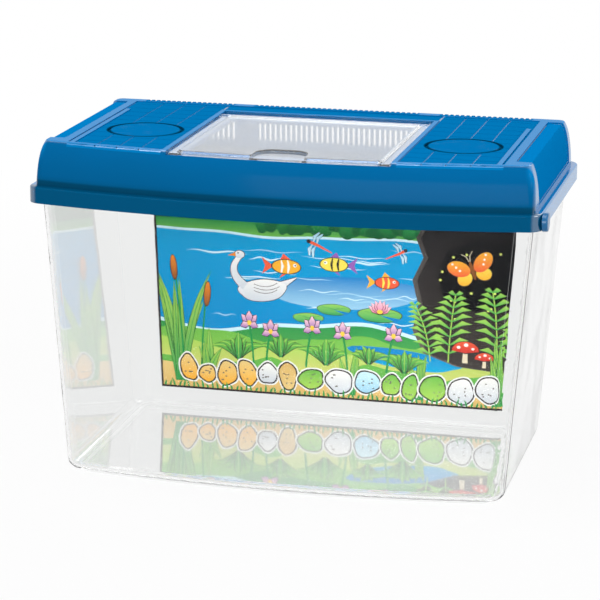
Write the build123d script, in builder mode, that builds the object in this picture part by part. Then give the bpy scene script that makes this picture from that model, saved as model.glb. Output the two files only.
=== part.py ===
# Pet tank: bow-fronted clear tank, vented lid with a lift-up feeding hatch, picture card.
# Millimetres, with the origin under the middle of the bounding box, X across the width,
# Y towards the back and Z up. The foot ring stands on Z = 0.
import os
from math import sqrt

from build123d import *

# Overall plan of the lid rim
rim_width = 370.0
rim_depth = 219.0
bow = 20.0
rim_corner = 12.0
lid_top_z = 247.0

# Lid shell
lid_height = 44.0
rim_height = 11.8
ledge_width = 5.0
lid_wall = 2.6
rim_edge_round = 1.3
crown_lean = 8.5
end_lean = 5.5
back_lean = 3.2
crown_corner = 5.5
top_edge_round = 1.6

# End recesses that wrap over the shoulders
recess_depth = 1.2
recess_reach = 22.0
recess_front_post = 22.5
recess_back_post = 20.5
recess_floor_rise = 2.4
recess_corner = 4.0

# Panels, ribs and grid grooves on the lid's top
panel_drop = 0.8
panel_front_lip = 2.4
panel_end_margin = 28.0
panel_back_margin = 17.5
rib_end_margin = 31.5
rib_width = 3.4
rib_back_margin = 51.5
grid_pitch = 16.8
groove_width = 0.9
groove_depth = 0.45

# Round port covers
port_setback = 92.5
port_radius = 28.0
port_gap = 2.2
port_ledge = 3.4
port_ledge_thickness = 1.6
cover_thickness = 1.8

# Vent slots over the back edge
slot_pitch = 4.1
slot_width = 2.0
slot_foot = 3.4
slot_top_reach = 4.5
middle_slots = 31
side_slots = 17
slot_group_gap = 21.0

# Feeding hatch and the seat it lies in
seat_half_width = 80.5
seat_back_margin = 39.5
seat_depth = 3.2
seat_lip = 3.5
seat_border = 11.0
opening_back_border = 21.0
hatch_gap = 0.25
hatch_side_gap = 1.4
hatch_sheet = 1.4
hatch_step_in = 5.0
hatch_bevel = 1.6
hatch_front_step = 3.2
hatch_corner = 3.0
hinge_setback = 12.0
hinge_radius = 1.2
hinge_fit = 0.06
pin_reach = 2.6
scoop_half_width = 19.0
scoop_length = 25.0
scoop_corner = 13.0

# Tank
tank_wall = 2.2
floor_thickness = 2.4
foot_height = 2.5
foot_width = 4.0
foot_inset = 9.0
tank_end_gap = 6.6
tank_front_gap = 7.3
tank_back_gap = 5.1
end_draft = 16.4
front_draft = 5.2
back_draft = 1.8
tank_corner = 14.0
floor_round = 7.0
flange_thickness = 2.2
flange_gap = 0.7

# Picture card behind the back wall
card_thickness = 0.3
card_bottom_z = 16.0
card_top_gap = 9.0
card_left_margin = 21.0
card_right_margin = 25.0
card_left_flare = 8.0
card_right_flare = 4.5

# Round stud on the right end of the rim
stud_radius = 6.8
stud_proud = 4.0
stud_setback = 9.5
stud_drop = 0.2
stud_stem_radius = 3.0

# Derived levels and lines
centre_x = -stud_proud / 2
half_width = rim_width / 2
front_y = -rim_depth / 2
back_y = rim_depth / 2
rim_bottom_z = lid_top_z - lid_height
rim_top_z = rim_bottom_z + rim_height
bow_radius = (half_width**2 + bow**2) / (2 * bow)
seat_z = lid_top_z - seat_depth
hatch_low_z = seat_z + hatch_gap
hatch_step_z = hatch_low_z + hatch_sheet
hatch_top_z = lid_top_z
hinge_z = hatch_low_z + hinge_radius
tank_top_z = rim_top_z - lid_wall
floor_z = foot_height + floor_thickness
panel_z = lid_top_z - panel_drop
seat_back_y = back_y - seat_back_margin
opening_back_y = seat_back_y - opening_back_border
hinge_y = seat_back_y - hinge_setback
stud_z = rim_bottom_z + rim_height / 2 - stud_drop


def level(z):
    """Horizontal work plane through the object's middle, at height z."""
    return Plane(origin=(centre_x, 0, z))


def front_at(side, front):
    """Y of the bowed front at x = side, for a front whose middle is at y = front."""
    radius = bow_radius - (front - front_y)
    return front + radius - sqrt(radius**2 - side**2)


def bow_outline(z, side, front, back, corner):
    """Closed bow-fronted outline with rounded corners, at height z."""
    corner_y = front_at(side, front)
    with BuildSketch(level(z)) as outline:
        with BuildLine():
            Polyline((side, corner_y), (side, back), (-side, back), (-side, corner_y))
            ThreePointArc((-side, corner_y), (0, front), (side, corner_y))
        make_face()
        fillet(outline.vertices(), corner)
    return outline.sketch


def rim_outline(z, inset):
    """Outline parallel to the lid's rim, moved in by inset."""
    return bow_outline(z, half_width - inset, front_y + inset, back_y - inset, rim_corner - inset)


# Shares of the crown's height, and of its lean there
crown_sections = ((0.0, 0.0), (0.4, 0.1), (0.72, 0.38), (0.9, 0.7), (1.0, 1.0))


def crown_outlines(shrink, top_drop):
    """Outlines of the lid above its rim, leaning in to the top, with all faces moved in by shrink."""
    outlines = []
    base_z = rim_top_z - lid_wall
    for height_share, lean_share in crown_sections:
        inset = ledge_width + shrink
        side = half_width - inset - end_lean * lean_share
        front = front_y + inset + crown_lean * lean_share
        back = back_y - inset - back_lean * lean_share
        z = base_z + (lid_top_z - top_drop - base_z) * height_share
        outlines.append(bow_outline(z, side, front, back, crown_corner - shrink))
    return outlines


# Lines on the lid's top
front_corner_y = front_at(half_width, front_y)
recess_inner_x = half_width - recess_reach
recess_front_y = front_corner_y + recess_front_post
recess_back_y = back_y - recess_back_post
panel_half_width = half_width - panel_end_margin
panel_back_y = back_y - panel_back_margin
panel_front_y = front_y + ledge_width + crown_lean + panel_front_lip
rib_x = half_width - rib_end_margin
rib_back_y = back_y - rib_back_margin
panel_inner_x = seat_half_width + seat_lip
panel_outer_x = rib_x - rib_width / 2
port_x = (panel_inner_x + panel_outer_x) / 2
port_y = front_y + port_setback
stud_y = front_corner_y + stud_setback

# Cutters and blocks shared by the lid's features
with BuildPart() as crown_core:
    loft(crown_outlines(recess_depth, recess_depth))

with BuildPart() as crown_hollow:
    loft(crown_outlines(lid_wall, lid_wall))

with BuildPart() as end_recess:
    for side in (-1, 1):
        with BuildSketch(level(rim_top_z + recess_floor_rise)):
            with Locations((side * (recess_inner_x + half_width) / 2, (recess_front_y + recess_back_y) / 2)):
                RectangleRounded(half_width - recess_inner_x, recess_back_y - recess_front_y, recess_corner)
        extrude(amount=lid_top_z - rim_top_z)
    add(crown_core.part, mode=Mode.SUBTRACT)

# Sunken grid panels left and right of the hatch, with the ribs left standing
with BuildPart() as panel_sink:
    extrude(bow_outline(panel_z, panel_half_width, panel_front_y, panel_back_y, 1.0), amount=2 * panel_drop)
    with BuildSketch(level(panel_z)):
        with Locations((0, (front_y + seat_back_y + seat_lip) / 2)):
            Rectangle(2 * panel_inner_x, seat_back_y + seat_lip - front_y)
        for side in (-1, 1):
            with Locations((side * rib_x, (front_y + rib_back_y) / 2)):
                Rectangle(rib_width, rib_back_y - front_y)
    extrude(amount=2 * panel_drop, mode=Mode.SUBTRACT)

# Fine square grid pressed into the panels, left out over the round covers
with BuildPart() as grid_grooves:
    for side in (-1, 1):
        with BuildSketch(level(panel_z - groove_depth)):
            columns = [port_x + step * grid_pitch for step in (-1, 0, 1)]
            for column in columns:
                with Locations((side * column, (panel_front_y + panel_back_y) / 2)):
                    Rectangle(groove_width, panel_back_y - panel_front_y - 2)
            row = port_y - 4 * grid_pitch
            while row < panel_back_y - grid_pitch / 4:
                if row > front_at(port_x, panel_front_y):
                    with Locations((side * (panel_inner_x + panel_outer_x) / 2, row)):
                        Rectangle(panel_outer_x - panel_inner_x - 1, groove_width)
                row += grid_pitch
            with Locations((side * port_x, port_y)):
                Circle(port_radius + groove_width, mode=Mode.SUBTRACT)
        extrude(amount=groove_depth + panel_drop / 2)

with BuildPart() as seat_block:
    loft(crown_outlines(0, 0))
    with BuildSketch(level(seat_z - lid_wall)):
        with Locations((0, (front_y + seat_back_y + seat_lip) / 2)):
            Rectangle(2 * (seat_half_width + seat_lip + 1), seat_back_y + seat_lip - front_y)
    extrude(amount=seat_depth + lid_wall, mode=Mode.INTERSECT)

with BuildPart() as lid:
    extrude(rim_outline(rim_bottom_z, 0), amount=rim_height)
    fillet(edges().group_by(Axis.Z)[-1], rim_edge_round)
    loft(crown_outlines(0, 0))
    fillet(edges().group_by(Axis.Z)[-1], top_edge_round)
    extrude(rim_outline(rim_bottom_z, lid_wall), amount=rim_height - lid_wall, mode=Mode.SUBTRACT)
    add(crown_hollow.part, mode=Mode.SUBTRACT)
    add(seat_block.part)
    add(end_recess.part, mode=Mode.SUBTRACT)
    # seat of the hatch, open to the front, and the opening below it
    with BuildSketch(level(seat_z)):
        with Locations((0, (front_y + seat_back_y) / 2)):
            Rectangle(2 * seat_half_width, seat_back_y - front_y)
    extrude(amount=seat_depth + 1, mode=Mode.SUBTRACT)
    opening_front_y = front_y + ledge_width + crown_lean + seat_border
    extrude(bow_outline(seat_z - 2 * lid_wall, seat_half_width - seat_border, opening_front_y,
                        opening_back_y, recess_corner), amount=3 * lid_wall, mode=Mode.SUBTRACT)
    add(panel_sink.part, mode=Mode.SUBTRACT)
    add(grid_grooves.part, mode=Mode.SUBTRACT)
    # round port holes, each with a ledge below for its cover
    ledge_top_z = panel_z - cover_thickness
    for side in (-1, 1):
        with BuildSketch(level(ledge_top_z - port_ledge_thickness)):
            with Locations((side * port_x, port_y)):
                Circle(port_radius + port_ledge)
        extrude(amount=port_ledge_thickness + cover_thickness / 2)
        with BuildSketch(level(ledge_top_z)):
            with Locations((side * port_x, port_y)):
                Circle(port_radius)
        extrude(amount=cover_thickness + 1, mode=Mode.SUBTRACT)
        with BuildSketch(level(ledge_top_z - 2 * port_ledge_thickness)):
            with Locations((side * port_x, port_y)):
                Circle(port_radius - port_gap - port_ledge)
        extrude(amount=3 * port_ledge_thickness, mode=Mode.SUBTRACT)
    # vent slots through the back wall and its top edge
    crown_back_y = back_y - ledge_width - back_lean
    slot_bottom_z = rim_top_z + slot_foot
    slot_y = (crown_back_y - slot_top_reach + back_y) / 2
    side_group_x = slot_group_gap + slot_pitch * (middle_slots + side_slots - 2) / 2
    slot_length = back_y - crown_back_y + slot_top_reach
    with BuildSketch(level(slot_bottom_z)):
        with GridLocations(slot_pitch, 1, middle_slots, 1):
            with Locations((0, slot_y)):
                Rectangle(slot_width, slot_length)
        for side in (-1, 1):
            with Locations((side * side_group_x, slot_y)):
                with GridLocations(slot_pitch, 1, side_slots, 1):
                    Rectangle(slot_width, slot_length)
    extrude(amount=lid_top_z - slot_bottom_z + 1, mode=Mode.SUBTRACT)
    # blind holes for the hatch's hinge pins
    with BuildSketch(Plane(origin=(centre_x, hinge_y, hinge_z), x_dir=(0, 1, 0), z_dir=(1, 0, 0))):
        Circle(hinge_radius + hinge_fit)
    extrude(amount=seat_half_width + pin_reach + 0.1, both=True, mode=Mode.SUBTRACT)
    # hole for the stud in the right end of the rim
    with BuildSketch(Plane(origin=(centre_x + half_width - 2 * lid_wall, stud_y, stud_z), z_dir=(1, 0, 0))):
        Circle(stud_stem_radius)
    extrude(amount=4 * lid_wall, mode=Mode.SUBTRACT)

# Round covers lying on the port ledges
covers = {}
for name, side in (("port_cover_left", -1), ("port_cover_right", 1)):
    with BuildPart() as cover:
        with BuildSketch(level(ledge_top_z)):
            with Locations((side * port_x, port_y)):
                Circle(port_radius - port_gap)
        extrude(amount=cover_thickness)
        chamfer(edges().group_by(Axis.Z)[-1], 0.4)
    covers[name] = cover.part

# Feeding hatch: thin flange, raised middle with sloped sides, finger scoop, hinge bar with pins
hatch_half_width = seat_half_width - hatch_side_gap
hatch_front_y = front_y + ledge_width + crown_lean - 0.4
step_front_y = hatch_front_y + hatch_front_step
step_half_width = hatch_half_width - hatch_step_in
step_back_y = hinge_y - hatch_front_step


def step_outline(z, inset, back_inset):
    """Outline of the hatch's raised middle, moved in by inset."""
    return bow_outline(z, step_half_width - inset, step_front_y + inset, step_back_y - back_inset, hatch_corner)


# Space under the raised middle, with solid ground left below the finger scoop
with BuildPart() as under_step:
    extrude(step_outline(hatch_low_z, hatch_bevel + hatch_sheet, hatch_bevel + hatch_sheet),
            amount=hatch_top_z - hatch_low_z - hatch_sheet)
    with BuildSketch(level(hatch_low_z)):
        with Locations((0, step_front_y)):
            RectangleRounded(2 * (scoop_half_width + hatch_sheet), 2 * (scoop_length + hatch_sheet),
                             scoop_corner + hatch_sheet)
    extrude(amount=hatch_top_z - hatch_low_z, mode=Mode.SUBTRACT)

with BuildPart() as hatch:
    extrude(bow_outline(hatch_low_z, hatch_half_width, hatch_front_y, hinge_y, 1.0), amount=hatch_sheet)
    loft([step_outline(hatch_step_z, 0, 0), step_outline(hatch_top_z, hatch_bevel, hatch_bevel)])
    add(under_step.part, mode=Mode.SUBTRACT)
    with BuildSketch(level(hatch_step_z)):
        with Locations((0, step_front_y)):
            RectangleRounded(2 * scoop_half_width, 2 * scoop_length, scoop_corner)
    extrude(amount=hatch_top_z, mode=Mode.SUBTRACT)
    with BuildSketch(Plane(origin=(centre_x, hinge_y, hinge_z), x_dir=(0, 1, 0), z_dir=(1, 0, 0))):
        Circle(hinge_radius)
    extrude(amount=seat_half_width + pin_reach, both=True)

# Clear tank, wider at the top, with a flange that carries the lid
flange_inset = lid_wall + flange_gap
tank_top_half_width = half_width - tank_end_gap
tank_top_front_y = front_y + tank_front_gap
tank_top_back_y = back_y - tank_back_gap
floor_half_width = tank_top_half_width - end_draft
floor_front_y = tank_top_front_y + front_draft
floor_back_y = tank_top_back_y - back_draft


def tank_outlines(shrink, low_z, high_z):
    """Tank outlines at two heights on its drafted walls, moved in by shrink."""
    outlines = []
    for z in (low_z, high_z):
        share = (z - foot_height) / (tank_top_z - foot_height)
        side = floor_half_width + (tank_top_half_width - floor_half_width) * share
        front = floor_front_y + (tank_top_front_y - floor_front_y) * share
        back = floor_back_y + (tank_top_back_y - floor_back_y) * share
        outlines.append(bow_outline(z, side - shrink, front + shrink, back - shrink, tank_corner - shrink))
    return outlines


with BuildPart() as tank_hollow:
    loft(tank_outlines(tank_wall, floor_z, tank_top_z + flange_thickness))
    fillet(edges().group_by(Axis.Z)[0], floor_round - tank_wall)

with BuildPart() as tank:
    loft(tank_outlines(0, foot_height, tank_top_z))
    fillet(edges().group_by(Axis.Z)[0], floor_round)
    extrude(rim_outline(tank_top_z - flange_thickness, flange_inset), amount=flange_thickness)
    fillet(edges().group_by(Axis.Z)[-1], 0.5)
    add(tank_hollow.part, mode=Mode.SUBTRACT)
    foot_side = floor_half_width - foot_inset
    foot_front = floor_front_y + foot_inset
    foot_back = floor_back_y - foot_inset
    extrude(bow_outline(0, foot_side, foot_front, foot_back, tank_corner - foot_width), amount=foot_height)
    extrude(bow_outline(0, foot_side - foot_width, foot_front + foot_width, foot_back - foot_width,
                        tank_corner - 2 * foot_width), amount=foot_height, mode=Mode.SUBTRACT)


# Picture card lying on the outer face of the back wall
def back_wall_y(z):
    """Y of the tank's back wall, outer face, at height z."""
    share = (z - foot_height) / (tank_top_z - foot_height)
    return floor_back_y + (tank_top_back_y - floor_back_y) * share


card_top_z = rim_bottom_z - card_top_gap
card_left_x = card_left_margin - floor_half_width
card_right_x = floor_half_width - card_right_margin
with BuildPart() as card:
    # leaning slab between the wall and a parallel plane, seen from the end
    with BuildSketch(Plane(origin=(centre_x - half_width, 0, 0), x_dir=(0, 1, 0), z_dir=(1, 0, 0))):
        low_y = back_wall_y(card_bottom_z)
        high_y = back_wall_y(card_top_z)
        Polygon((low_y, card_bottom_z), (low_y + card_thickness, card_bottom_z),
                (high_y + card_thickness, card_top_z), (high_y, card_top_z), align=None)
    extrude(amount=2 * half_width)
    # cut to the card's own tapering outline, seen from the front
    with BuildSketch(Plane(origin=(centre_x, back_y, 0), x_dir=(1, 0, 0), z_dir=(0, -1, 0))):
        Polygon((card_left_x, card_bottom_z), (card_right_x, card_bottom_z),
                (card_right_x + card_right_flare, card_top_z),
                (card_left_x - card_left_flare, card_top_z), align=None)
    extrude(amount=back_y, mode=Mode.INTERSECT)

# Snap-in stud on the right end of the rim
with BuildPart() as rim_stud:
    with BuildSketch(Plane(origin=(centre_x + half_width, stud_y, stud_z), z_dir=(1, 0, 0))):
        Circle(stud_radius)
    extrude(amount=stud_proud)
    fillet(edges().group_by(Axis.X)[-1], 1.2)
    with BuildSketch(Plane(origin=(centre_x + half_width - lid_wall, stud_y, stud_z), z_dir=(1, 0, 0))):
        Circle(stud_stem_radius)
    extrude(amount=lid_wall + stud_proud / 2)

pieces = {
    "tank": tank.part,
    "lid": lid.part,
    "hatch": hatch.part,
    "port_cover_left": covers["port_cover_left"],
    "port_cover_right": covers["port_cover_right"],
    "picture_card": card.part,
    "rim_stud": rim_stud.part,
}
os.makedirs("parts", exist_ok=True)
for name, piece in pieces.items():
    piece.label = name
    export_step(piece, f"parts/{name}.step")
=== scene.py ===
import math
import random

import bpy
from mathutils import Matrix, Vector
from mathutils.geometry import delaunay_2d_cdt


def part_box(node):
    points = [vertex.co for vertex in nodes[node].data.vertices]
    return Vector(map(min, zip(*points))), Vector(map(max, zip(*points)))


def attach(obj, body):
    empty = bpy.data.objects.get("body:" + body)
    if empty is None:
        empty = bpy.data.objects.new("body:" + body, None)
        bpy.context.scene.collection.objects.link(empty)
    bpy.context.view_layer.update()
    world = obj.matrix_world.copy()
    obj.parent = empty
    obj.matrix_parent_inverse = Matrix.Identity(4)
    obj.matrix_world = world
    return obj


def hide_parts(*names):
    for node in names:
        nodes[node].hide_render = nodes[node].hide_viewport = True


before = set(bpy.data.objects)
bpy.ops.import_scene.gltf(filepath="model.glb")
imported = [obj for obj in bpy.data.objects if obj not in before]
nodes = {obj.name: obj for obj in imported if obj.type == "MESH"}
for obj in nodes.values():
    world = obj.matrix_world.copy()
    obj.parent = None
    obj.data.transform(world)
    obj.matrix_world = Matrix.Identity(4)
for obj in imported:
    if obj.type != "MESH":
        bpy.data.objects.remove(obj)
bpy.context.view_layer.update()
print("stage: frame loaded", sorted(nodes))

scene = bpy.context.scene
mm = 0.001
centreX = -2.0 * mm  # the stud stands out on the right, so the tank's middle is 2 mm to the left


# shader maths: a Wire is one socket, and its operators add Math nodes
class Wire:
    def __init__(self, finish, socket):
        self.finish = finish
        self.socket = socket

    def math(self, operation, *values):
        return self.finish.wire("Math", {"operation": operation}, dict(enumerate(values)))

    def __add__(self, other):
        return self.math("ADD", self, other)

    def __radd__(self, other):
        return self.math("ADD", other, self)

    def __sub__(self, other):
        return self.math("SUBTRACT", self, other)

    def __rsub__(self, other):
        return self.math("SUBTRACT", other, self)

    def __mul__(self, other):
        return self.math("MULTIPLY", self, other)

    def __rmul__(self, other):
        return self.math("MULTIPLY", other, self)

    def __abs__(self):
        return self.math("ABSOLUTE", self)

    def most(self, other):
        return self.math("MAXIMUM", self, other)

    def rise(self, low, high):  # 0 below low, 1 above high
        return self.finish.wire("MapRange", {"interpolation_type": "SMOOTHSTEP"},
                                {"Value": self, "From Min": low, "From Max": high})

    def fall(self, low, high):  # 1 below low, 0 above high
        return 1.0 - self.rise(low, high)

    def past(self, edge, soft):
        return self.rise(edge - soft, edge + soft)

    def before(self, edge, soft):
        return self.fall(edge - soft, edge + soft)

    def within(self, low, high, soft):
        return self.past(low, soft) * self.before(high, soft)


# one node tree, of a material or of the world
class Finish:
    def __init__(self, tree, material=None):
        self.tree = tree
        self.material = material
        self.tree.nodes.clear()

    def node(self, kind, settings=None, sockets=None):
        made = self.tree.nodes.new("ShaderNode" + kind)
        for key, value in (settings or {}).items():
            setattr(made, key, value)
        for key, value in (sockets or {}).items():
            if isinstance(value, Wire):
                self.tree.links.new(value.socket, made.inputs[key])
            else:
                made.inputs[key].default_value = value
        return made

    def wire(self, kind, settings=None, sockets=None, output=0):
        return Wire(self, self.node(kind, settings, sockets).outputs[output])

    def position(self):
        place = self.wire("TexCoord", output="Object")
        split = self.node("SeparateXYZ", {}, {0: place})
        return [place] + [Wire(self, split.outputs[axis]) for axis in range(3)]

    def blend(self, amount, low, high):  # inputs 6 and 7 of Mix are its two colours
        colours = {6: low, 7: high}
        ready = {place: value if isinstance(value, Wire) else (*value, 1.0)
                 for place, value in colours.items()}
        return self.wire("Mix", {"data_type": "RGBA"}, {0: amount, **ready}, output=2)

    def noise(self, scale, detail=3.0, rough=0.5, stretch=(1.0, 1.0, 1.0)):
        place = self.wire("Mapping", {}, {"Vector": self.position()[0], "Scale": stretch})
        return self.wire("TexNoise", {}, {"Vector": place, "Scale": scale, "Detail": detail,
                                          "Roughness": rough})

    def bump(self, height, distance):
        return self.wire("Bump", {}, {"Height": height, "Distance": distance})

    def surface(self, shader):
        out = self.node("OutputMaterial")
        self.tree.links.new(shader.socket, out.inputs["Surface"])
        return self.material


def newFinish(name):
    material = bpy.data.materials.new(name)
    material.use_nodes = True
    return Finish(material.node_tree, material)


def dress(piece, material):
    for slot in piece.material_slots:
        slot.material = material


def dimmed(colour, share):
    return tuple(part * share for part in colour)


# where the round ports lie, from the cover that fills the right one
coverLow, coverHigh = (Vector(corner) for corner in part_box("port_cover_right"))
port = {"side": (coverLow.x + coverHigh.x) / 2 - centreX, "depth": (coverLow.y + coverHigh.y) / 2,
        "radius": (coverHigh.x - coverLow.x) / 2, "gapShade": 0.0028}


def fromPort(side, y):  # distance from the middle of the port on either side
    across, along = side - port["side"], y - port["depth"]
    square = across * across + along * along
    return square.math("SQRT", square)


# lid plastic: gloss frames, fine matte grain in the end recesses and on the top panels, with painted shade
# and painted light in its tones
# deep and cove are painted shade; recess, frame and groove are lighter blues that are painted light
lidLook = {"satin": (0.0004, 0.139, 0.361), "recess": (0.0005, 0.166, 0.436), "frame": (0.0005, 0.180, 0.455),
           "gloss": (0.0003, 0.096, 0.258), "deep": (0.0002, 0.067, 0.158), "cove": (0.0002, 0.050, 0.112),
           "groove": (0.010, 0.200, 0.470), "rough": 0.50, "mattRough": 0.62, "scuffRough": 0.05,
           "coatRough": 0.12, "coatIor": 2.1, "fasciaCoat": 0.012, "frameCoat": 0.30, "postCoat": 1.0,
           "grooveCoat": 0.8, "portShade": 0.9, "cloudSize": 16.0, "scuffSize": 120.0, "grainSize": 1300.0,
           "grainHeight": 0.00011}

# Places of the lid's features in metres. A pair is an edge and half the width over which it fades,
# and three values are a band's two edges and that half width.
lidPlaces = {"recessSide": (0.1633, 0.0002), "recessDepth": (-0.0668, 0.0888, 0.0002),
             "recessFoot": (0.2175, 0.0003), "topPlane": (0.2465, 0.0003),
             "panelHeight": (0.2440, 0.2465, 0.0001), "panelSide": (0.0842, 0.1568, 0.0002),
             "panelDepth": (-0.0970, 0.0922, 0.0003), "grooveHeight": (0.24545, 0.24602, 0.00004),
             "stripHeight": (0.24425, 0.00025), "stripDepth": (0.0718, 0.0924, 0.0002),
             "stripSide": (0.0828, 0.0002), "ventDepth": (0.0924, 0.0002),
             "rearDepth": (0.10025, 0.00125), "rearTop": (0.24375, 0.00125), "rearSide": (0.1710, 0.0020),
             "fasciaDepth": (0.0135, 0.0010), "fasciaTop": (0.2462, 0.0004), "fasciaSide": (0.17875, 0.00125),
             "footShade": (0.21925, 0.00425), "slopeShade": (0.2310, 0.0130),
             "cove": (0.2149, 0.2192, 0.0010), "postSide": (0.17375, 0.00225), "postDepth": (-0.0820, 0.0030),
             "portDepth": (0.2385, 0.0005)}
ventGroups = ((0.0, 0.0640), (0.1153, 0.0352))  # middle and half length of each group of slots
ventFade = 0.0003
bowRadius, bowFrontY = 0.8656, -0.1095


def makeLidPlastic():
    finish = newFinish("lidBluePlastic")
    x, y, z = finish.position()[1:]
    shifted = x - centreX
    side = abs(shifted)
    places = lidPlaces
    inRecess = side.past(*places["recessSide"]) * y.within(*places["recessDepth"])
    inRecess = inRecess * z.past(*places["recessFoot"])
    onTop = z.past(*places["topPlane"])
    onPanel = z.within(*places["panelHeight"]) * side.within(*places["panelSide"])
    onPanel = onPanel * y.within(*places["panelDepth"])
    inGroove = onPanel * z.within(*places["grooveHeight"])
    onStrip = z.past(*places["stripHeight"]) * y.within(*places["stripDepth"])
    onStrip = onStrip * side.before(*places["stripSide"])
    onRearWall = y.past(*places["rearDepth"]) * z.before(*places["rearTop"])
    onRearWall = onRearWall * side.before(*places["rearSide"])
    matte = inRecess.most(onPanel).most(onStrip).most(onRearWall)
    for middle, reach in ventGroups:  # the bars between the vent slots
        bars = abs(side - middle).before(reach + ventFade, ventFade) * y.past(*places["ventDepth"])
        matte = matte.most(bars)
    behindBow = y - shifted * shifted * (0.5 / bowRadius) - bowFrontY
    fascia = behindBow.before(*places["fasciaDepth"]) * z.before(*places["fasciaTop"])
    fascia = fascia * side.before(*places["fasciaSide"])
    grain = finish.noise(lidLook["grainSize"], 4.0, 0.6)
    cloud = finish.noise(lidLook["cloudSize"], 2.0, 0.5)
    scuff = finish.noise(lidLook["scuffSize"], 5.0, 0.65, (1.0, 1.0, 0.3))
    # painted shade: the blue darkens to the deep tone towards the foot of the front and a little up its slope
    low = z.before(*places["footShade"]) * 0.80 + z.before(*places["slopeShade"]) * 0.20
    tone = finish.blend(cloud.rise(0.30, 0.70) * 0.10 * (1.0 - low) + low, lidLook["gloss"], lidLook["deep"])
    # painted shade: a darker band in the cove where the crown meets the rim
    tone = finish.blend(z.within(*places["cove"]), tone, lidLook["cove"])
    tone = finish.blend(matte * (0.94 + cloud * 0.12), tone, lidLook["satin"])
    # painted light: the corner posts at both ends take the lighter frame tone
    onPost = side.past(*places["postSide"]) * y.past(*places["postDepth"])
    tone = finish.blend(onPost * (1.0 - matte), tone, lidLook["frame"])
    # painted light: the end recesses are a lighter copy of the matte blue
    tone = finish.blend(inRecess, tone, lidLook["recess"])
    # painted light: the gloss frames on the top take the lighter frame tone
    tone = finish.blend(onTop * (1.0 - matte), tone, lidLook["frame"])
    # painted highlight: the grid grooves are a lighter blue, as where their edges catch light
    tone = finish.blend(inGroove, tone, lidLook["groove"])
    # painted shade in the gap round each port: a dark ring on the lid at the hole's edge
    portEdge = fromPort(side, y).before(port["radius"] + port["gapShade"], 0.0004)
    portEdge = portEdge * z.past(*places["portDepth"])
    tone = finish.blend(portEdge * lidLook["portShade"], tone, lidLook["cove"])
    rough = lidLook["rough"] + matte * (lidLook["mattRough"] - lidLook["rough"])
    rough = rough + scuff.rise(0.45, 0.8) * lidLook["scuffRough"]
    frames = lidLook["postCoat"] - onTop * (lidLook["postCoat"] - lidLook["frameCoat"])
    gloss = (1.0 - matte) * (frames - fascia * (frames - lidLook["fasciaCoat"]))
    coat = gloss * (0.80 + cloud * 0.20) + inGroove * lidLook["grooveCoat"]
    fine = finish.bump(grain * (matte * 0.85 + 0.15) + scuff * 0.25, lidLook["grainHeight"])
    shader = finish.wire("BsdfPrincipled", {}, {
        "Base Color": tone, "Roughness": rough, "Normal": fine, "IOR": 1.5, "Specular IOR Level": 0.0,
        "Coat Weight": coat, "Coat Roughness": lidLook["coatRough"], "Coat IOR": lidLook["coatIor"]})
    return finish.surface(shader)


# round covers: the same blue with a satin grain, and painted shade in the gap at the foot of their edge
coverLook = {"base": (0.0004, 0.139, 0.361), "rim": (0.0004, 0.128, 0.340), "edge": (0.0002, 0.050, 0.112),
             "edgeShade": 0.8, "rough": 0.60, "coat": 0.08, "coatRough": 0.25, "cloudSize": 22.0,
             "swirlSize": 90.0, "grainSize": 1300.0, "grainHeight": 0.00010}


def makeCoverPlastic():
    finish = newFinish("coverBluePlastic")
    x, y = finish.position()[1:3]
    grain = finish.noise(coverLook["grainSize"], 4.0, 0.6)
    cloud = finish.noise(coverLook["cloudSize"], 2.0, 0.5)
    swirl = finish.noise(coverLook["swirlSize"], 5.0, 0.6, (1.0, 2.2, 1.0))
    tone = finish.blend(cloud * 0.5, coverLook["base"], coverLook["rim"])
    # painted shade: the outer ring of each cover darkens where it meets the gap
    outside = fromPort(abs(x - centreX), y).past(port["radius"] - 0.0008, 0.0004)
    tone = finish.blend(outside * coverLook["edgeShade"], tone, coverLook["edge"])
    fine = finish.bump(grain + swirl * 0.5, coverLook["grainHeight"])
    shader = finish.wire("BsdfPrincipled", {}, {
        "Base Color": tone, "Roughness": coverLook["rough"] - swirl * 0.08, "Normal": fine, "IOR": 1.5,
        "Specular IOR Level": 0.0, "Coat Weight": swirl.rise(0.5, 0.8) * coverLook["coat"],
        "Coat Roughness": coverLook["coatRough"]})
    return finish.surface(shader)


studLook = {"base": (0.0004, 0.100, 0.255), "worn": 0.82, "rough": 0.35, "coat": 0.55, "wearSize": 260.0,
            "wearHeight": 0.00006}


def makeStudPlastic():
    finish = newFinish("studBluePlastic")
    wear = finish.noise(studLook["wearSize"], 4.0, 0.6)
    worn = dimmed(studLook["base"], studLook["worn"])
    tone = finish.blend(wear.rise(0.4, 0.7) * 0.5, studLook["base"], worn)
    fine = finish.bump(wear, studLook["wearHeight"])
    shader = finish.wire("BsdfPrincipled", {}, {
        "Base Color": tone, "Roughness": studLook["rough"] + wear * 0.1, "Normal": fine, "IOR": 1.5,
        "Specular IOR Level": 0.1, "Coat Weight": studLook["coat"] + wear * 0.1, "Coat Roughness": 0.15})
    return finish.surface(shader)


# clear plastic: lets lamps through, so that the inside isn't dark, and its floor mirrors more
tankLook = {"tint": (0.924, 0.928, 0.926), "rough": 0.015, "clear": 1.0, "shade": (0.97, 0.97, 0.97),
            "mirror": 0.04, "floorCoat": 1.0, "waveScale": 9.0, "waveHeight": 0.00025, "scuffScale": 210.0}
hatchLook = {"tint": (0.92, 0.94, 0.955), "rough": 0.03, "clear": 0.955, "shade": (0.85, 0.86, 0.87),
             "mirror": 0.30, "floorCoat": 0.0, "waveScale": 30.0, "waveHeight": 0.00006, "scuffScale": 160.0}
tankFloor = (0.0045, 0.0055, 0.0003)  # the heights round the floor's upper face, and how they fade


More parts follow.
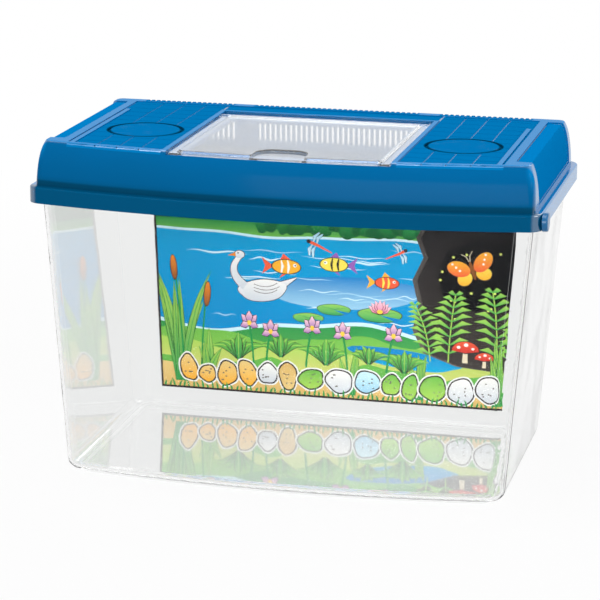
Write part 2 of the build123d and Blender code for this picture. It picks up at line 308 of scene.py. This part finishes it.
def makeClearPlastic(name, look):
    finish = newFinish(name)
    wave = finish.noise(look["waveScale"], 2.0, 0.5)
    scuff = finish.noise(look["scuffScale"], 6.0, 0.7, (1.0, 1.0, 0.25))
    ripple = finish.bump(wave + scuff * 0.02, look["waveHeight"])
    floorFace = finish.position()[3].within(*tankFloor)
    haze = look["rough"] + scuff.rise(0.50, 0.85) * 0.05
    glass = finish.wire("BsdfPrincipled", {}, {
        "Base Color": (*look["tint"], 1.0), "Roughness": haze, "IOR": 1.49,
        "Transmission Weight": look["clear"], "Normal": ripple,
        "Coat Weight": floorFace * look["floorCoat"], "Coat Roughness": 0.03, "Coat IOR": 1.5,
        "Specular Tint": (look["mirror"], look["mirror"], look["mirror"], 1.0)})
    lamps = finish.wire("BsdfTransparent", {}, {"Color": (*look["shade"], 1.0)})
    shadow = finish.wire("LightPath", output="Is Shadow Ray")
    return finish.surface(finish.wire("MixShader", {}, {0: shadow, 1: glass, 2: lamps}))


lidPlastic = makeLidPlastic()
coverPlastic = makeCoverPlastic()
dress(nodes["lid"], lidPlastic)
dress(nodes["port_cover_left"], coverPlastic)
dress(nodes["port_cover_right"], coverPlastic)
dress(nodes["rim_stud"], makeStudPlastic())
dress(nodes["tank"], makeClearPlastic("clearTankPlastic", tankLook))
dress(nodes["hatch"], makeClearPlastic("clearHatchPlastic", hatchLook))
print("stage: plastics")

# picture card: a printed pond of the maker's own, cut from flat shapes that share one mesh
# Places on the card are millimetres from its left edge and from its lower edge.
cardLook = {"wallGap": 0.05, "thick": 0.28, "curlReach": 12.0, "curlRise": 0.009, "curlEase": 0.55,
            "border": 1.7, "paper": (0.86, 0.86, 0.84), "cornerStep": 3.0, "cell": 6.0, "solidThick": 0.3,
            "rough": 0.32, "specks": 0.08, "fading": 0.015, "speckSize": 900.0, "fadeSize": 9.0}
smallestArea = 0.02


def ink(red, green, blue):  # an ink given as screen values, to linear
    return tuple((part / 255 / 12.92) if part < 11 else ((part / 255 + 0.055) / 1.055) ** 2.4
                 for part in (red, green, blue))


inks = {"line": ink(52, 44, 44), "halo": ink(238, 240, 238), "sky": ink(170, 220, 236),
        "farHill": ink(40, 140, 84), "nearHill": ink(18, 112, 66), "bush": ink(26, 96, 50),
        "waterTop": ink(0, 168, 216), "waterLow": ink(16, 128, 196), "shallow": ink(158, 206, 232),
        "foam": ink(205, 238, 246), "lawn": ink(112, 186, 78), "lawnDeep": ink(40, 146, 76),
        "sand": ink(232, 202, 132), "sandDeep": ink(216, 176, 104), "reed": ink(160, 204, 84),
        "reedDeep": ink(60, 160, 84), "cattail": ink(140, 84, 44), "pad": ink(46, 160, 92),
        "padLight": ink(150, 208, 96), "petal": ink(240, 120, 160), "petalPale": ink(252, 206, 216),
        "pollen": ink(248, 206, 70), "coral": ink(238, 96, 62), "amber": ink(246, 178, 52),
        "lemon": ink(246, 224, 90), "white": ink(246, 244, 240), "shade": ink(206, 212, 220),
        "beak": ink(240, 140, 44), "night": ink(14, 14, 18), "rock": ink(64, 58, 56),
        "rockPale": ink(104, 98, 92), "glow": ink(232, 240, 120),
        "fern": ink(70, 176, 84), "fernPale": ink(170, 212, 92), "cap": ink(206, 52, 50),
        "stem": ink(232, 220, 190), "violet": ink(150, 96, 176)}

shapes = []  # each one: points, ink at its low side, ink at its high side; later shapes lie on top


def lay(points, low, high=None):
    area = sum(a[0] * b[1] - b[0] * a[1] for a, b in zip(points, points[1:] + points[:1]))
    if abs(area) > smallestArea:
        shapes.append((points if area > 0 else points[::-1], inks[low], inks[high or low]))


def oval(x, y, across, up, turn=0.0, wobble=0.0, corners=22, phase=0.0):
    points = []
    for step in range(corners):
        angle = 2 * math.pi * step / corners
        swell = 1 + wobble * math.sin(3 * angle + phase) + 0.6 * wobble * math.sin(5 * angle + 2 * phase)
        px, py = across * swell * math.cos(angle), up * swell * math.sin(angle)
        points.append((x + px * math.cos(turn) - py * math.sin(turn),
                       y + px * math.sin(turn) + py * math.cos(turn)))
    return points


def ribbon(path, widths):  # a tapering stroke along a few points
    left, right = [], []
    for place, (x, y) in enumerate(path):
        before, after = path[max(place - 1, 0)], path[min(place + 1, len(path) - 1)]
        dx, dy = after[0] - before[0], after[1] - before[1]
        reach = math.hypot(dx, dy) or 1.0
        half = widths[place] / 2
        left.append((x - dy / reach * half, y + dx / reach * half))
        right.append((x + dy / reach * half, y - dx / reach * half))
    return left + right[::-1]


def bend(start, middle, end, steps=9):  # points along a bent line that passes near its middle
    line = []
    for step in range(steps + 1):
        t = step / steps
        line.append(tuple((1 - t) ** 2 * a + 2 * t * (1 - t) * b + t * t * c
                          for a, b, c in zip(start, middle, end)))
    return line


def blade(start, middle, end, width, low="reed", high="reed", steps=9):
    line = bend(start, middle, end, steps)
    shares = [0.14 + 0.86 * step / steps for step in range(steps + 1)]
    widths = [max(0.05, width * math.sin(math.pi * share)) for share in shares]
    lay(ribbon(line, widths), low, high)


def wave(x, y, length, rise, width, name="foam"):
    line = [(x + length * t / 12, y + rise * math.sin(t * 0.9 + x)) for t in range(13)]
    lay(ribbon(line, [max(0.05, width * math.sin(math.pi * t / 12)) for t in range(13)]), name)


def bank(y, rise, length, name, high, left, right, foot, phase=0.0):
    count = max(6, int((right - left) / 6))
    top = [(left + (right - left) * t / count,
            y + rise * math.sin(phase + (right - left) * t / count / length * 2 * math.pi)
            + 0.35 * rise * math.sin(2.3 * phase + (right - left) * t / count / length * 5 * math.pi))
           for t in range(count + 1)]
    lay([(left, foot)] + top + [(right, foot)], name, high)


def fish(x, y, size, facing, body, fin, band):
    flip = 1 if facing == "right" else -1
    tail = [(x - flip * size * 0.9, y), (x - flip * size * 1.75, y + size * 0.62),
            (x - flip * size * 1.5, y), (x - flip * size * 1.75, y - size * 0.62)]
    lay(tail, fin)
    lay([(x - flip * size * 0.5, y + size * 0.35), (x - flip * size * 0.2, y + size * 0.95),
         (x + flip * size * 0.45, y + size * 0.4)], fin)
    lay([(x - flip * size * 0.2, y - size * 0.4), (x - flip * size * 0.5, y - size * 0.85),
         (x + flip * size * 0.2, y - size * 0.4)], fin)
    lay(oval(x, y, size * 1.08, size * 0.56), "line")
    lay(oval(x, y, size, size * 0.5), body)
    for share in (-0.35, 0.1):
        height = size * 0.48 * math.sqrt(1 - share * share)
        lay(ribbon([(x + flip * size * share, y + height), (x + flip * size * (share + 0.08), y),
                    (x + flip * size * share, y - height)], [0.9, size * 0.2, 0.9]), band)
    lay(oval(x + flip * size * 0.62, y + size * 0.12, size * 0.13, size * 0.13, corners=10), "white")
    lay(oval(x + flip * size * 0.65, y + size * 0.12, size * 0.06, size * 0.06, corners=8), "line")


def waterLily(x, y, size, flower):
    lay(oval(x, y, size * 1.04, size * 0.36, wobble=0.02), "line")
    lay(oval(x, y, size, size * 0.33, wobble=0.02), "pad", "padLight")
    lay([(x, y), (x + size * 0.75, y - size * 0.30), (x + size * 0.98, y - size * 0.14)], "waterLow")
    for spread in (-2, -1, 1, 2):
        lay(ribbon([(x, y), (x + spread * size * 0.36, y + size * 0.16)], [0.25, 0.25]), "lawnDeep")
    if flower:
        for spread in (-1.05, 1.05, -0.72, 0.72, -0.36, 0.36, 0.0):
            tip = (x + math.sin(spread) * size * 0.62, y + size * 0.10 + math.cos(spread) * size * 0.62)
            side = (x + math.sin(spread) * size * 0.3, y + size * 0.10 + math.cos(spread) * size * 0.3)
            lay(ribbon([(x, y + size * 0.05), side, tip], [size * 0.1, size * 0.34, 0.1]), "line")
            lay(ribbon([(x, y + size * 0.07), side, tip], [size * 0.06, size * 0.28, 0.05]),
                "petal", "petalPale")
        lay(oval(x, y + size * 0.16, size * 0.14, size * 0.10, corners=12), "pollen")


def dragonfly(x, y, size, turn):
    def spot(along, across):
        return (x + along * math.cos(turn) - across * math.sin(turn),
                y + along * math.sin(turn) + across * math.cos(turn))
    for back in (0.0, -size * 0.28):
        for flip in (1, -1):
            root, tip = spot(back, 0), spot(back - size * 0.12, flip * size)
            middle = spot(back + size * 0.10, flip * size * 0.55)
            lay(ribbon([root, middle, tip], [0.5, size * 0.30, size * 0.16]), "line")
            lay(ribbon([root, middle, tip], [0.3, size * 0.24, size * 0.10]), "foam", "shallow")
    lay(ribbon([spot(size * 0.3, 0), spot(-size * 0.4, 0), spot(-size * 1.6, size * 0.08)],
               [size * 0.26, size * 0.20, size * 0.07]), "coral")
    lay(oval(*spot(size * 0.38, 0), size * 0.17, size * 0.17, corners=12), "line")


def swan(x, y, size):
    tail = [(x + size * 0.70, y + size * 0.20), (x + size * 1.42, y + size * 0.62)]
    neck = bend((x - size * 0.72, y + size * 0.12), (x - size * 1.55, y + size * 0.75),
                (x - size * 0.86, y + size * 1.42), 10)
    for grow, name, high in ((1.1, "line", "line"), (0.0, "shade", "white")):
        widths = [size * (0.36 - 0.018 * step) + grow for step in range(11)]
        lay(ribbon(tail, [size * 0.34 + grow, 0.4 + grow]), name, high)
        lay(oval(x, y, size + grow / 2, size * 0.46 + grow / 2, 0.12, 0.04, 28), name, high)
        lay(ribbon(neck, widths), name, high)
        lay(oval(x - size * 0.93, y + size * 1.45, size * 0.21 + grow / 2, size * 0.16 + grow / 2,
                 corners=16), name, high)
    beakTop = y + size * 1.46
    lay([(x - size * 1.10, beakTop + size * 0.07), (x - size * 1.42, beakTop - size * 0.07),
         (x - size * 1.08, beakTop - size * 0.09)], "beak")
    lay(oval(x - size * 0.98, beakTop + size * 0.05, size * 0.035, size * 0.035, corners=8), "line")
    for lift, reach in ((0.24, 0.62), (0.10, 0.72), (-0.04, 0.62)):
        lay(ribbon(bend((x - size * 0.35, y + size * lift), (x + size * 0.2, y + size * (lift - 0.22)),
                        (x + size * reach, y + size * (lift + 0.10)), 8), [0.5] * 9), "rockPale")


def mushroom(x, y, size):
    lay(ribbon([(x, y), (x, y + size * 1.05)], [size * 0.52, size * 0.40]), "line")
    lay(ribbon([(x, y + 0.4), (x, y + size * 1.0)], [size * 0.42, size * 0.31]), "stem")
    dome = [(x + size * math.cos(angle), y + size * (0.95 + 0.72 * math.sin(angle)))
            for angle in (math.pi * step / 14 for step in range(15))]
    lay([(px + (px - x) * 0.07, py + 0.5) for px, py in dome] + [(x, y + size * 0.72)], "line")
    lay(dome + [(x, y + size * 0.80)], "cap", "coral")
    for across, up, spotSize in ((-0.5, 1.22, 0.14), (0.05, 1.42, 0.17), (0.55, 1.15, 0.12)):
        lay(oval(x + size * across, y + size * up, size * spotSize, size * spotSize * 0.8, corners=10),
            "white")


def fern(x, y, height, lean, leaves=9):
    line = bend((x, y), (x + lean * 0.2, y + height * 0.6), (x + lean, y + height), leaves)
    lay(ribbon(line, [0.9] * len(line)), "fernPale")
    for place, (px, py) in enumerate(line[1:]):
        reach = height * 0.30 * math.sin(math.pi * (0.22 + 0.74 * (place + 1) / (leaves + 1)))
        for flip in (-1, 1):
            lay(ribbon([(px, py), (px + flip * reach * 0.55, py + reach * 0.34),
                        (px + flip * reach, py + reach * 0.30)], [0.7, height * 0.065, 0.1]),
                "fern", "fernPale")


def butterfly(x, y, size, turn):
    def spot(across, along):
        return (x + across * math.cos(turn) - along * math.sin(turn),
                y + across * math.sin(turn) + along * math.cos(turn))
    for flip in (-1, 1):
        for grow, names in ((0.7, ("line",)), (0.0, ("amber", "lemon"))):
            lay(oval(*spot(flip * size * 0.50, -size * 0.30), size * 0.40 + grow, size * 0.34 + grow,
                     turn - flip * 0.5), *names)
            lay(oval(*spot(flip * size * 0.64, size * 0.28), size * 0.60 + grow, size * 0.40 + grow,
                     turn + flip * 0.6), *(("coral", "amber") if grow == 0.0 else names))
        for step in range(3):
            across, along = flip * size * (0.88 - 0.13 * step), size * (0.62 - 0.22 * step)
            lay(oval(*spot(across, along), 0.9, 0.9, corners=8), "white")
        feeler = ((0, 0.4), (flip * 0.10, 0.8), (flip * 0.30, 1.0))
        lay(ribbon([spot(size * across, size * along) for across, along in feeler], [0.5, 0.5, 0.4]), "stem")
    lay(oval(x, y, size * 0.10, size * 0.52, turn, corners=14), "cattail")


def reedClump(x, foot, dice, count, height):
    for step in range(count):
        lean = dice.uniform(-0.28, 0.28) * height
        start = x + dice.uniform(-5, 5)
        tall = height * dice.uniform(0.62, 1.0)
        middle, tip = (start + lean * 0.15, foot + tall * 0.55), (start + lean, foot + tall)
        width = dice.uniform(4.4, 6.6)
        blade((start, foot), middle, tip, width + 1.1, "bush", "bush")
        blade((start, foot), middle, tip, width, "reedDeep", "reed" if step % 2 else "fernPale")
        lay(ribbon(bend((start, foot), middle, tip, 8), [0.45] * 9), "lawnDeep")


def cattail(x, foot, height, lean):
    line = bend((x, foot), (x + lean * 0.3, foot + height * 0.6), (x + lean, foot + height), 8)
    lay(ribbon(line, [1.3] * len(line)), "lawnDeep")
    tx, ty = line[-1]
    lay(oval(tx, ty - 4, 3.0, 10.5, -lean / height, corners=18), "line")
    lay(oval(tx, ty - 4, 2.3, 9.8, -lean / height, corners=18), "cattail", "beak")


def iris(x, foot, height, lean):
    line = bend((x, foot), (x + lean * 0.3, foot + height * 0.6), (x + lean, foot + height), 8)
    lay(ribbon(line, [1.7] * len(line)), "lawnDeep")
    tx, ty = line[-1]
    for turn, reach in ((-0.75, 8.5), (0.75, 8.5), (0.0, 9.5), (-2.0, 7.5), (2.0, 7.5)):
        tip = (tx + math.sin(turn) * reach, ty + math.cos(turn) * reach)
        side = (tx + math.sin(turn) * reach * 0.55, ty + math.cos(turn) * reach * 0.55)
        for grow, names in ((1.2, ("line",)), (0.0, ("violet", "petalPale"))):
            lay(ribbon([(tx, ty - 0.8), side, tip], [1.4 + grow, 5.4 + grow, 0.5 + grow]), *names)
    lay(oval(tx, ty, 1.7, 2.1, corners=12), "pollen")


def broadLeaves(x, foot, size, dice):
    for lean in (-1.15, 1.1, -0.75, 0.7, -0.35, 0.32, 0.0):
        reach = size * dice.uniform(0.85, 1.1)
        tip = (x + lean * reach, foot + reach * (1.05 - 0.45 * abs(lean)))
        middle = (x + lean * reach * 0.35, foot + reach * 0.75)
        blade((x, foot), middle, tip, size * 0.30 + 1.3, "line", "line", 7)
        blade((x, foot), middle, tip, size * 0.30, "lawnDeep", "lawn", 7)
        lay(ribbon(bend((x, foot + 1), middle, tip, 6), [0.5] * 7), "fernPale")


def pebbleRow(dice):  # the row of outlined pebbles along the shore, at the scale of a coin
    fills = (("sand", "sandDeep"), ("shallow", "foam"), ("fernPale", "lawn"), ("amber", "sand"),
             ("shade", "white"))
    x = 17.0
    while x < 262.0:
        across = dice.uniform(5.6, 10.5)
        up = dice.uniform(6.4, 11.5)
        x += across
        y = 15.5 + dice.uniform(-2.5, 2.5)
        turn, phase = dice.uniform(-0.35, 0.35), dice.uniform(0, 6)
        low, high = fills[dice.randrange(len(fills))]
        for grow, names in ((2.3, ("halo",)), (1.15, ("line",)), (0.0, (low, high))):
            lay(oval(x, y, across + grow, up + grow, turn, 0.05, 26, phase), *names)
        for step in range(dice.randrange(3, 7)):
            speckX = x + dice.uniform(-0.6, 0.6) * across
            speckY = y + dice.uniform(-0.6, 0.6) * up
            lay(oval(speckX, speckY, 0.8, 0.6, corners=8), "rockPale")
        x += across + 2.6


def drawPond(width, height):
    dice = random.Random(17)
    lay([(0, 0), (width, 0), (width, height), (0, height)], "waterLow", "waterTop")
    bank(139, 3, 150, "sky", "sky", 0, width, height + 1, 0.4)
    bank(150, 6, 120, "farHill", "nearHill", 0, width, 134, 0.8)
    for step in range(16):
        x = 8 + step * 13.5 + dice.uniform(-4, 4)
        y = 141 + dice.uniform(-3, 3)
        lay(oval(x, y, dice.uniform(6, 11), dice.uniform(4, 7), 0, 0.08, 18, step), "bush", "nearHill")
    bank(127.5, 1.6, 170, "foam", "foam", 0, width, 135, 1.2)
    bank(129.5, 1.6, 170, "lawn", "lawnDeep", 0, width, 138, 1.2)
    for step in range(17):
        x = 84 + step * 8.2 + dice.uniform(-2, 2)
        y = 136 + dice.uniform(-1.5, 2.5)
        lay(oval(x, y, dice.uniform(5, 9), dice.uniform(4, 6.5), 0, 0.10, 18, step),
            "bush", "nearHill" if step % 2 else "lawnDeep")
    lay(oval(148, 86, 62, 13, 0.03, 0.03, 30), "shallow", "waterLow")
    for step in range(26):
        x, y = dice.uniform(4, width - 70), dice.uniform(62, 124)
        wave(x, y, dice.uniform(16, 52), dice.uniform(0.3, 1.1), dice.uniform(0.7, 1.7),
             "foam" if step % 3 else "shallow")
    # shore in the foreground
    bank(57, 5, 210, "foam", "foam", 0, width, -1, 3.4)
    bank(54, 5, 210, "lawn", "lawnDeep", 0, width, -1, 3.4)
    bank(47, 4, 130, "fernPale", "lawn", 0, width, -1, 0.2)
    bank(39, 3, 90, "sand", "fernPale", 0, width, -1, 1.2)
    lay(oval(196, 36, 44, 7.5, -0.10, 0.06, 26), "waterTop", "waterLow")
    bank(24, 5, 90, "lawnDeep", "lawn", 0, width, -1, 1.9)
    bank(17, 4, 140, "sandDeep", "sand", 0, width, -1, 0.9)
    # dark grotto under an overhanging rock, on the right
    grotto = [(214, 42), (205, 60), (209, 80), (204, 100), (212, 118), (206, 133), (213, 146),
              (width, 152), (width, 30), (240, 33)]
    lay([(x - 3.5, y) for x, y in grotto], "rockPale", "rock")
    lay(grotto, "rock", "night")
    lay([(226, 84), (220, 104), (226, 124), (248, 134), (width, 132), (width, 86), (250, 78)], "night")
    for step in range(12):
        lay(oval(dice.uniform(220, width - 6), dice.uniform(66, 128), 1.0, 1.0, corners=8), "glow")
    butterfly(246, 110, 15, 0.35)
    for x, tall, lean in ((216, 44, -13), (230, 54, 4), (268, 58, -6), (279, 42, 8)):
        fern(x, 36, tall, lean)
    mushroom(243, 36, 10.5)
    mushroom(258, 33, 7.5)
    # water lilies, bird, fishes and dragonflies
    waterLily(176, 70, 17, True)
    waterLily(120, 64, 12, False)
    waterLily(140, 72, 13, False)
    swan(84, 84, 19)
    fish(103, 104, 11.0, "right", "amber", "coral", "white")
    fish(140, 108, 10.5, "left", "lemon", "violet", "line")
    fish(181, 96, 9.0, "right", "coral", "amber", "lemon")
    dragonfly(124, 124, 10, 2.75)
    dragonfly(192, 121, 8.5, 0.5)
    # plants of the shore, pebbles and the border
    reedClump(15, 6, dice, 7, 96)
    cattail(20, 10, 92, -6)
    cattail(33, 8, 74, 7)
    reedClump(42, 6, dice, 4, 46)
    reedClump(152, 4, dice, 4, 40)
    reedClump(208, 4, dice, 4, 38)
    reedClump(width - 5, 3, dice, 5, 62)
    for x, foot, size in ((64, 27, 19), (98, 31, 17), (134, 27, 20), (168, 30, 15), (196, 25, 18)):
        broadLeaves(x, foot, size, dice)
    for x, tall, lean in ((76, 33, -3), (86, 27, 4), (118, 32, 5), (151, 29, -4), (182, 30, 5)):
        iris(x, 24, tall, lean)
    pebbleRow(dice)
    grassCount = 70
    for step in range(grassCount):
        x = 3 + step * (width - 4) / grassCount
        tip = (x + dice.uniform(-2.5, 2.5), dice.uniform(4, 8.5))
        blade((x, 0), (x + 0.4, 4), tip, 1.7, "reedDeep", "lawnDeep", 4)
    edge = cardLook["border"]
    lay([(0, 0), (width, 0), (width, edge), (0, edge)], "line")
    lay([(0, 0), (edge, 0), (edge, height), (0, height)], "line")


def makeCardPaint():
    finish = newFinish("cardPrint")
    printed = finish.node("Attribute", {"attribute_name": "print"})
    tone = Wire(finish, printed.outputs["Color"])
    speck = finish.noise(cardLook["speckSize"], 3.0, 0.6)
    fade = finish.noise(cardLook["fadeSize"], 2.0, 0.5)
    tone = finish.blend(speck.rise(0.55, 0.95) * cardLook["specks"], tone, cardLook["paper"])
    tone = finish.blend(fade.rise(0.4, 0.8) * cardLook["fading"], tone, cardLook["paper"])
    sheen = finish.bump(fade + speck * 0.04, 0.0006)
    shader = finish.wire("BsdfPrincipled", {}, {
        "Base Color": tone, "Roughness": cardLook["rough"] + speck * 0.10, "Normal": sheen, "IOR": 1.5,
        "Specular IOR Level": 0.08})
    return finish.surface(shader)


def shapeFinder():  # which shape lies on top at a place, with the shapes sorted into squares first
    cell = cardLook["cell"]
    squares = {}
    for index, (outline, lowInk, highInk) in enumerate(shapes):
        xs, ys = [x for x, y in outline], [y for x, y in outline]
        for column in range(int(min(xs) // cell), int(max(xs) // cell) + 1):
            for row in range(int(min(ys) // cell), int(max(ys) // cell) + 1):
                squares.setdefault((column, row), []).append(index)

    def covers(outline, x, y):
        turns = 0
        for (ax, ay), (bx, by) in zip(outline, outline[1:] + outline[:1]):
            if (ay > y) != (by > y):
                if x < ax + (y - ay) / (by - ay) * (bx - ax):
                    turns += 1 if by > ay else -1
        return turns != 0

    def find(x, y):
        for index in reversed(squares[(int(x // cell), int(y // cell))]):
            if covers(shapes[index][0], x, y):
                return index
        return 0
    return find


def printTriangles(width, height):  # the card's face cut along every shape's outline
    coords, edges = [], []
    for outline, lowInk, highInk in shapes:
        start, corners = len(coords), len(outline)
        coords += [Vector((min(max(x, 0.0), width), min(max(y, 0.0), height))) for x, y in outline]
        edges += [(start + corner, start + (corner + 1) % corners) for corner in range(corners)]
    for column in range(1, 5):  # lines that let the free edge curl
        coords += [Vector((width - column * cardLook["cornerStep"], end)) for end in (0.0, height)]
        edges.append((len(coords) - 2, len(coords) - 1))
    cut = delaunay_2d_cdt(coords, edges, [], 0, 0.01, False)
    return cut[0], cut[2]


def shapeTone(source, point):  # a shape's ink at a place, between its low and its high side
    outline, lowInk, highInk = shapes[source]
    bottom = min(y for x, y in outline)
    top = max(y for x, y in outline)
    share = min(max((point.y - bottom) / max(top - bottom, 0.01), 0.0), 1.0)
    return tuple(a + (b - a) * share for a, b in zip(lowInk, highInk)) + (1.0,)


def makeCard():
    low, high = (Vector(corner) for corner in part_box("picture_card"))
    thick = cardLook["thick"] * mm
    lean = (high.y - low.y - cardLook["solidThick"] * mm) / (high.z - low.z)
    height = (high.z - low.z) / mm
    points = [vertex.co for vertex in nodes["picture_card"].data.vertices]
    floorPoints = [point.x for point in points if point.z < low.z + 1 * mm]
    lowLeft, lowRight = min(floorPoints), max(floorPoints)
    width = (lowRight - lowLeft) / mm
    drawPond(width, height)
    flat, triangles = printTriangles(width, height)
    print("stage: card print", len(shapes), "shapes,", len(triangles), "triangles")
    findShape = shapeFinder()

    def placed(point, behind):
        share = point.y / height
        left = lowLeft + (low.x - lowLeft) * share
        right = lowRight + (high.x - lowRight) * share
        curl = max(0.0, point.x - (width - cardLook["curlReach"])) ** 2 * cardLook["curlRise"]
        curl = curl * (1.0 - cardLook["curlEase"] * share)
        depth = low.y + (cardLook["wallGap"] + lean * point.y + curl) * mm + behind
        return (left + (right - left) * point.x / width, depth, low.z + point.y * mm)

    count = len(flat)
    verts = [placed(point, behind) for behind in (0.0, thick) for point in flat]
    paper = (*cardLook["paper"], 1.0)
    polygons, colours = [], []
    rim = {}  # the edges that only one triangle has, in a fixed order
    for a, b, c in triangles:
        middle = (flat[a] + flat[b] + flat[c]) / 3
        top = findShape(middle.x, middle.y)
        polygons.append((a, b, c))
        colours += [shapeTone(top, flat[corner]) for corner in (a, b, c)]
        polygons.append((c + count, b + count, a + count))
        colours += [paper] * 3
        for pair in ((a, b), (b, c), (c, a)):
            if (pair[1], pair[0]) in rim:
                del rim[(pair[1], pair[0])]
            else:
                rim[pair] = True
    for a, b in rim:
        polygons.append((b, a, a + count, b + count))
        colours += [paper] * 4
    mesh = bpy.data.meshes.new("pictureCard")
    mesh.from_pydata(verts, [], polygons)
    attribute = mesh.color_attributes.new("print", "FLOAT_COLOR", "CORNER")
    attribute.data.foreach_set("color", [part for colour in colours for part in colour])
    card = bpy.data.objects.new("pond_card", mesh)
    scene.collection.objects.link(card)
    mesh.materials.append(makeCardPaint())
    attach(card, "tank")
    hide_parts("picture_card")


makeCard()

# floor and white surroundings
# A lamp has its place, its target, its size and its power.
white = (1.0, 1.0, 1.0, 1.0)
stageLook = {"floorWhite": 0.62, "floorReach": 6.0, "floorGlow": 0.91, "glowRise": (0.3, 1.1),
             "worldLight": 0.42,
             "lamps": {"keyLamp": ((-0.35, -0.40, 1.7), (0, 0, 0.15), (1.2, 1.2), 20.0),
                       "sideLamp": ((1.7, -0.3, 0.9), (0, 0, 0.15), (0.9, 0.9), 13.0),
                       "frontLamp": ((0.1, -1.7, 0.45), (0, 0, 0.12), (1.2, 0.6), 14.0),
                       "backLamp": ((0.2, 1.4, 1.1), (0, 0, 0.12), (1.4, 0.8), 8.0)}}


def seenDirectly(finish):
    path = finish.node("LightPath")
    seen = Wire(finish, path.outputs["Is Camera Ray"]).most(Wire(finish, path.outputs["Is Glossy Ray"]))
    return seen.most(Wire(finish, path.outputs["Is Transmission Ray"]))


def makeFloor():
    mesh = bpy.data.meshes.new("studioFloor")
    reach = stageLook["floorReach"]
    mesh.from_pydata([(-reach, -reach, 0), (reach, -reach, 0), (reach, reach, 0), (-reach, reach, 0)], [],
                     [(0, 1, 2, 3)])
    floor = bpy.data.objects.new("studioFloor", mesh)
    scene.collection.objects.link(floor)
    finish = newFinish("studioFloorWhite")
    grey = stageLook["floorWhite"]
    paper = finish.wire("BsdfDiffuse", {}, {"Color": (grey, grey, grey, 1.0)})
    glow = finish.wire("Emission", {}, {"Color": white, "Strength": 1.0})
    place = finish.position()[0]
    away = finish.wire("VectorMath", {"operation": "LENGTH"}, {0: place}, output="Value")
    away = away.rise(*stageLook["glowRise"])
    whiteness = stageLook["floorGlow"] + away * (1.0 - stageLook["floorGlow"])
    shader = finish.wire("MixShader", {}, {0: seenDirectly(finish) * whiteness, 1: paper, 2: glow})
    mesh.materials.append(finish.surface(shader))


def makeWorld():
    world = bpy.data.worlds.new("studioWorld")
    scene.world = world
    world.use_nodes = True
    finish = Finish(world.node_tree)
    lit = finish.wire("Background", {}, {"Color": white, "Strength": stageLook["worldLight"]})
    seen = finish.wire("Background", {}, {"Color": white, "Strength": 1.0})
    mixed = finish.wire("MixShader", {}, {0: seenDirectly(finish), 1: lit, 2: seen})
    out = finish.node("OutputWorld")
    finish.tree.links.new(mixed.socket, out.inputs["Surface"])


def addLamp(name, place, target, size, power):
    lamp = bpy.data.lights.new(name, "AREA")
    lamp.shape = "RECTANGLE"
    lamp.size, lamp.size_y = size
    lamp.energy = power
    holder = bpy.data.objects.new(name, lamp)
    scene.collection.objects.link(holder)
    aim = Vector(target) - Vector(place)
    holder.matrix_world = Matrix.Translation(place) @ aim.to_track_quat("-Z", "Y").to_matrix().to_4x4()


makeFloor()
makeWorld()
for lampName, (lampPlace, lampTarget, lampSize, lampPower) in stageLook["lamps"].items():
    addLamp(lampName, lampPlace, lampTarget, lampSize, lampPower)
print("stage: light")

# camera, placed from the corners of the lid and the floor in the photograph
cameraLook = {"place": (0.4224, -1.8298, 0.6020), "turn": 13.20, "tilt": 14.36, "roll": 0.47,
              "focalPixels": 2623.0, "picturePixels": 600.0, "sensor": 36.0, "nearClip": 0.05}


def placeCamera():
    turn, tilt, roll = (math.radians(cameraLook[key]) for key in ("turn", "tilt", "roll"))
    ahead = Vector((-math.sin(turn) * math.cos(tilt), math.cos(turn) * math.cos(tilt), -math.sin(tilt)))
    right = Vector((math.cos(turn), math.sin(turn), 0))
    up = right.cross(ahead)
    rolledRight = right * math.cos(roll) + up * math.sin(roll)
    rolledUp = up * math.cos(roll) - right * math.sin(roll)
    lens = bpy.data.cameras.new("photoCamera")
    lens.sensor_fit = "HORIZONTAL"
    lens.sensor_width = cameraLook["sensor"]
    lens.lens = cameraLook["focalPixels"] / cameraLook["picturePixels"] * cameraLook["sensor"]
    lens.clip_start = cameraLook["nearClip"]
    camera = bpy.data.objects.new("photoCamera", lens)
    scene.collection.objects.link(camera)
    axes = Matrix((rolledRight, rolledUp, -ahead)).transposed().to_4x4()
    camera.matrix_world = Matrix.Translation(cameraLook["place"]) @ axes
    scene.camera = camera


placeCamera()
scene.view_settings.view_transform = "Standard"
print("stage: camera")
